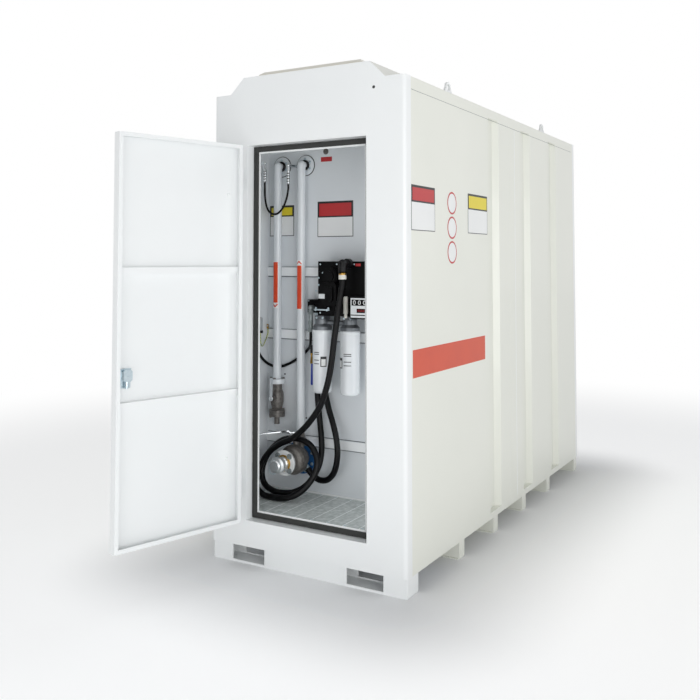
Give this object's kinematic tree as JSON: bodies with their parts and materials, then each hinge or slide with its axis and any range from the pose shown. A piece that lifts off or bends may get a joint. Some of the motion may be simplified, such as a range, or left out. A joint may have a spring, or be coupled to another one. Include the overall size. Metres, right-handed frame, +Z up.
{
  "type": "self-bunded fuel storage tank",
  "caption": "Skid-mounted double-walled fuel tank with a humped roof, lifting eyes and an open hinged door on a pump compartment.",
  "frame": {"origin": "on the ground, under the middle of the front bearer", "axes": "+Z up, +Y from the door end to the rear, +X to the right when facing the door"},
  "size_m": [1.1821, 3.6802, 2.607],
  "materials": {
    "front_paint": "white gloss enamel",
    "side_paint": "white gloss enamel",
    "interior_paint": "light grey enamel",
    "deck_plate": "galvanised, mottled",
    "seal_rubber": "matte",
    "pipe_paint": "white gloss",
    "black_plastic": "moulded",
    "black_paint": "semi-gloss black",
    "cast_body": "rough casting",
    "zinc_plate": "bright zinc",
    "machined_metal": "machined",
    "blue_ring": "blue enamel",
    "filter_paint": "white gloss",
    "wire_pvc": "striped insulation",
    "tank_steel": "primer",
    "hose_rubber": "smooth rubber"
  },
  "bodies": {
    "tank": {"front_bearer": "front_paint", "bearer_2": "side_paint", "bearer_3": "side_paint", "bearer_4": "side_paint", "bearer_5": "side_paint", "rear_bearer": "side_paint", "base_plate": "interior_paint", "front_left_post": "front_paint", "front_right_post": "front_paint", "front_header": "front_paint", "front_sill": "front_paint", "left_side_panel": "side_paint", "right_side_panel": "side_paint", "left_top_rail": "side_paint", "right_top_rail": "side_paint", "left_bottom_rail": "side_paint", "right_bottom_rail": "side_paint", "rear_wall": "side_paint", "roof_panel": "side_paint", "roof_lid": "side_paint", "lug_front_left": "side_paint", "lug_front_right": "side_paint", "lug_rear_left": "side_paint", "lug_rear_right": "side_paint", "bulkhead": "interior_paint", "floor_deck": "deck_plate", "door_jamb": "front_paint", "door_seal": "seal_rubber", "frame_hinges": "front_paint", "supply_pipe": "pipe_paint", "fill_pipe": "pipe_paint", "pipe_plugs": "black_plastic", "supply_valve": "cast_body", "fill_valve": "cast_body", "fill_ring": "blue_ring", "fill_coupling": "machined_metal", "pump_cabinet": "black_paint", "pump": "black_paint", "meter": "machined_metal", "filter_heads": "cast_body", "filters": "filter_paint", "nozzle": "black_plastic", "delivery_hose": "hose_rubber", "suction_hose": "hose_rubber", "hose_outlets": "zinc_plate", "suction_stub": "zinc_plate", "junction_box": "black_paint", "return_elbow": "zinc_plate", "return_hose": "hose_rubber", "vent_canister": "machined_metal", "vent_hose": "hose_rubber", "wall_fittings": "zinc_plate", "earth_wire": "wire_pvc", "inner_tank": "tank_steel"},
    "door": {"door_pan": "front_paint", "door_ribs": "front_paint", "door_lock": "zinc_plate", "door_hinges": "front_paint"},
    "supply_handle": {"supply_lever": "zinc_plate"},
    "fill_handle": {"fill_lever": "zinc_plate"}
  },
  "joints": [
    {"name": "door_hinge", "type": "hinge", "parent": "tank", "child": "door", "pos_m": [-0.387, -0.089, 0], "axis": [0, 0, -1], "range_deg": [-106, 14]},
    {"name": "supply_lever_turn", "type": "hinge", "parent": "tank", "child": "supply_handle", "pos_m": [-0.48, 0.324, 0.797], "axis": [0, 1, 0], "range_deg": [0, 90]},
    {"name": "fill_lever_turn", "type": "hinge", "parent": "tank", "child": "fill_handle", "pos_m": [-0.314, 0.329, 0.573], "axis": [0, 0, -1], "range_deg": [-30, 60]}
  ]
}
